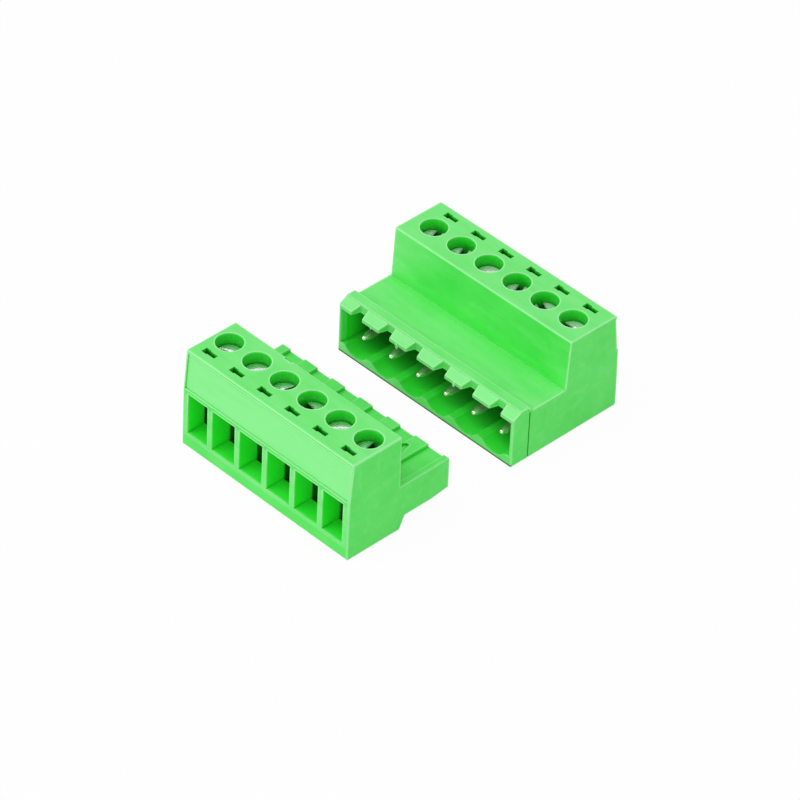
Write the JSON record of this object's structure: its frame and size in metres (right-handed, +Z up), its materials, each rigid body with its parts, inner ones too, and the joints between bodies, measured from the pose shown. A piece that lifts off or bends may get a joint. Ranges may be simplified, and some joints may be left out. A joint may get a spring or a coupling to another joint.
{
  "type": "pluggable terminal block",
  "caption": "Screw-clamp plug and its mating pin header for joining rows of wires, shown unplugged, with turning screws and rising clamps.",
  "frame": {"origin": "centre of the unplugged pair's bounding box, on the floor", "axes": "+Z up, +Y the way the plug travels into the header, +X along the row of poles, to the right when looking into the plug's wire entries"},
  "size_m": [0.032, 0.047, 0.015],
  "materials": {
    "green_plastic": "satin moulded",
    "screw_steel": "zinc plated",
    "clamp_steel": "zinc plated",
    "tinned_brass": "tin plated"
  },
  "bodies": {
    "header": {"header_housing": "green_plastic", "header_pin_1": "tinned_brass", "header_pin_2": "tinned_brass", "header_pin_3": "tinned_brass", "header_pin_4": "tinned_brass", "header_pin_5": "tinned_brass", "header_pin_6": "tinned_brass"},
    "plug": {"plug_housing": "green_plastic", "plug_socket_1": "tinned_brass", "plug_socket_2": "tinned_brass", "plug_socket_3": "tinned_brass", "plug_socket_4": "tinned_brass", "plug_socket_5": "tinned_brass", "plug_socket_6": "tinned_brass"},
    "plug_screw_1": {"plug_screw_1": "screw_steel"},
    "plug_clamp_1": {"plug_clamp_1": "clamp_steel"},
    "plug_screw_2": {"plug_screw_2": "screw_steel"},
    "plug_clamp_2": {"plug_clamp_2": "clamp_steel"},
    "plug_screw_3": {"plug_screw_3": "screw_steel"},
    "plug_clamp_3": {"plug_clamp_3": "clamp_steel"},
    "plug_screw_4": {"plug_screw_4": "screw_steel"},
    "plug_clamp_4": {"plug_clamp_4": "clamp_steel"},
    "plug_screw_5": {"plug_screw_5": "screw_steel"},
    "plug_clamp_5": {"plug_clamp_5": "clamp_steel"},
    "plug_screw_6": {"plug_screw_6": "screw_steel"},
    "plug_clamp_6": {"plug_clamp_6": "clamp_steel"},
    "header_screw_1": {"header_screw_1": "screw_steel"},
    "header_clamp_1": {"header_clamp_1": "clamp_steel"},
    "header_screw_2": {"header_screw_2": "screw_steel"},
    "header_clamp_2": {"header_clamp_2": "clamp_steel"},
    "header_screw_3": {"header_screw_3": "screw_steel"},
    "header_clamp_3": {"header_clamp_3": "clamp_steel"},
    "header_screw_4": {"header_screw_4": "screw_steel"},
    "header_clamp_4": {"header_clamp_4": "clamp_steel"},
    "header_screw_5": {"header_screw_5": "screw_steel"},
    "header_clamp_5": {"header_clamp_5": "clamp_steel"},
    "header_screw_6": {"header_screw_6": "screw_steel"},
    "header_clamp_6": {"header_clamp_6": "clamp_steel"}
  },
  "joints": [
    {"name": "plug_slide", "type": "slide", "parent": "header", "child": "plug", "axis": [0, 1, 0], "range_m": [0, 0.01817]},
    {"name": "plug_screw_1_turn", "type": "hinge", "parent": "plug", "child": "plug_screw_1", "pos_m": [-0.0127, -0.01785, 0.0133], "axis": [0, 0, -1], "range_deg": [0, 2400]},
    {"name": "plug_clamp_1_rise", "type": "slide", "parent": "plug", "child": "plug_clamp_1", "axis": [0, 0, 1], "range_m": [0, 0.003]},
    {"name": "plug_screw_2_turn", "type": "hinge", "parent": "plug", "child": "plug_screw_2", "pos_m": [-0.00762, -0.01785, 0.0133], "axis": [0, 0, -1], "range_deg": [0, 2400]},
    {"name": "plug_clamp_2_rise", "type": "slide", "parent": "plug", "child": "plug_clamp_2", "axis": [0, 0, 1], "range_m": [0, 0.003]},
    {"name": "plug_screw_3_turn", "type": "hinge", "parent": "plug", "child": "plug_screw_3", "pos_m": [-0.00254, -0.01785, 0.0133], "axis": [0, 0, -1], "range_deg": [0, 2400]},
    {"name": "plug_clamp_3_rise", "type": "slide", "parent": "plug", "child": "plug_clamp_3", "axis": [0, 0, 1], "range_m": [0, 0.003]},
    {"name": "plug_screw_4_turn", "type": "hinge", "parent": "plug", "child": "plug_screw_4", "pos_m": [0.00254, -0.01785, 0.0133], "axis": [0, 0, -1], "range_deg": [0, 2400]},
    {"name": "plug_clamp_4_rise", "type": "slide", "parent": "plug", "child": "plug_clamp_4", "axis": [0, 0, 1], "range_m": [0, 0.003]},
    {"name": "plug_screw_5_turn", "type": "hinge", "parent": "plug", "child": "plug_screw_5", "pos_m": [0.00762, -0.01785, 0.0133], "axis": [0, 0, -1], "range_deg": [0, 2400]},
    {"name": "plug_clamp_5_rise", "type": "slide", "parent": "plug", "child": "plug_clamp_5", "axis": [0, 0, 1], "range_m": [0, 0.003]},
    {"name": "plug_screw_6_turn", "type": "hinge", "parent": "plug", "child": "plug_screw_6", "pos_m": [0.0127, -0.01785, 0.0133], "axis": [0, 0, -1], "range_deg": [0, 2400]},
    {"name": "plug_clamp_6_rise", "type": "slide", "parent": "plug", "child": "plug_clamp_6", "axis": [0, 0, 1], "range_m": [0, 0.003]},
    {"name": "header_screw_1_turn", "type": "hinge", "parent": "header", "child": "header_screw_1", "pos_m": [-0.0127, 0.01803, 0.0133], "axis": [0, 0, -1], "range_deg": [0, 2400]},
    {"name": "header_clamp_1_rise", "type": "slide", "parent": "header", "child": "header_clamp_1", "axis": [0, 0, 1], "range_m": [0, 0.003]},
    {"name": "header_screw_2_turn", "type": "hinge", "parent": "header", "child": "header_screw_2", "pos_m": [-0.00762, 0.01803, 0.0133], "axis": [0, 0, -1], "range_deg": [0, 2400]},
    {"name": "header_clamp_2_rise", "type": "slide", "parent": "header", "child": "header_clamp_2", "axis": [0, 0, 1], "range_m": [0, 0.003]},
    {"name": "header_screw_3_turn", "type": "hinge", "parent": "header", "child": "header_screw_3", "pos_m": [-0.00254, 0.01803, 0.0133], "axis": [0, 0, -1], "range_deg": [0, 2400]},
    {"name": "header_clamp_3_rise", "type": "slide", "parent": "header", "child": "header_clamp_3", "axis": [0, 0, 1], "range_m": [0, 0.003]},
    {"name": "header_screw_4_turn", "type": "hinge", "parent": "header", "child": "header_screw_4", "pos_m": [0.00254, 0.01803, 0.0133], "axis": [0, 0, -1], "range_deg": [0, 2400]},
    {"name": "header_clamp_4_rise", "type": "slide", "parent": "header", "child": "header_clamp_4", "axis": [0, 0, 1], "range_m": [0, 0.003]},
    {"name": "header_screw_5_turn", "type": "hinge", "parent": "header", "child": "header_screw_5", "pos_m": [0.00762, 0.01803, 0.0133], "axis": [0, 0, -1], "range_deg": [0, 2400]},
    {"name": "header_clamp_5_rise", "type": "slide", "parent": "header", "child": "header_clamp_5", "axis": [0, 0, 1], "range_m": [0, 0.003]},
    {"name": "header_screw_6_turn", "type": "hinge", "parent": "header", "child": "header_screw_6", "pos_m": [0.0127, 0.01803, 0.0133], "axis": [0, 0, -1], "range_deg": [0, 2400]},
    {"name": "header_clamp_6_rise", "type": "slide", "parent": "header", "child": "header_clamp_6", "axis": [0, 0, 1], "range_m": [0, 0.003]}
  ],
  "couplings": [
    {"joint": "plug_screw_1_turn", "follows": "plug_clamp_1_rise", "rad_per_m": 13963},
    {"joint": "plug_screw_2_turn", "follows": "plug_clamp_2_rise", "rad_per_m": 13963},
    {"joint": "plug_screw_3_turn", "follows": "plug_clamp_3_rise", "rad_per_m": 13963},
    {"joint": "plug_screw_4_turn", "follows": "plug_clamp_4_rise", "rad_per_m": 13963},
    {"joint": "plug_screw_5_turn", "follows": "plug_clamp_5_rise", "rad_per_m": 13963},
    {"joint": "plug_screw_6_turn", "follows": "plug_clamp_6_rise", "rad_per_m": 13963},
    {"joint": "header_screw_1_turn", "follows": "header_clamp_1_rise", "rad_per_m": 13963},
    {"joint": "header_screw_2_turn", "follows": "header_clamp_2_rise", "rad_per_m": 13963},
    {"joint": "header_screw_3_turn", "follows": "header_clamp_3_rise", "rad_per_m": 13963},
    {"joint": "header_screw_4_turn", "follows": "header_clamp_4_rise", "rad_per_m": 13963},
    {"joint": "header_screw_5_turn", "follows": "header_clamp_5_rise", "rad_per_m": 13963},
    {"joint": "header_screw_6_turn", "follows": "header_clamp_6_rise", "rad_per_m": 13963}
  ]
}
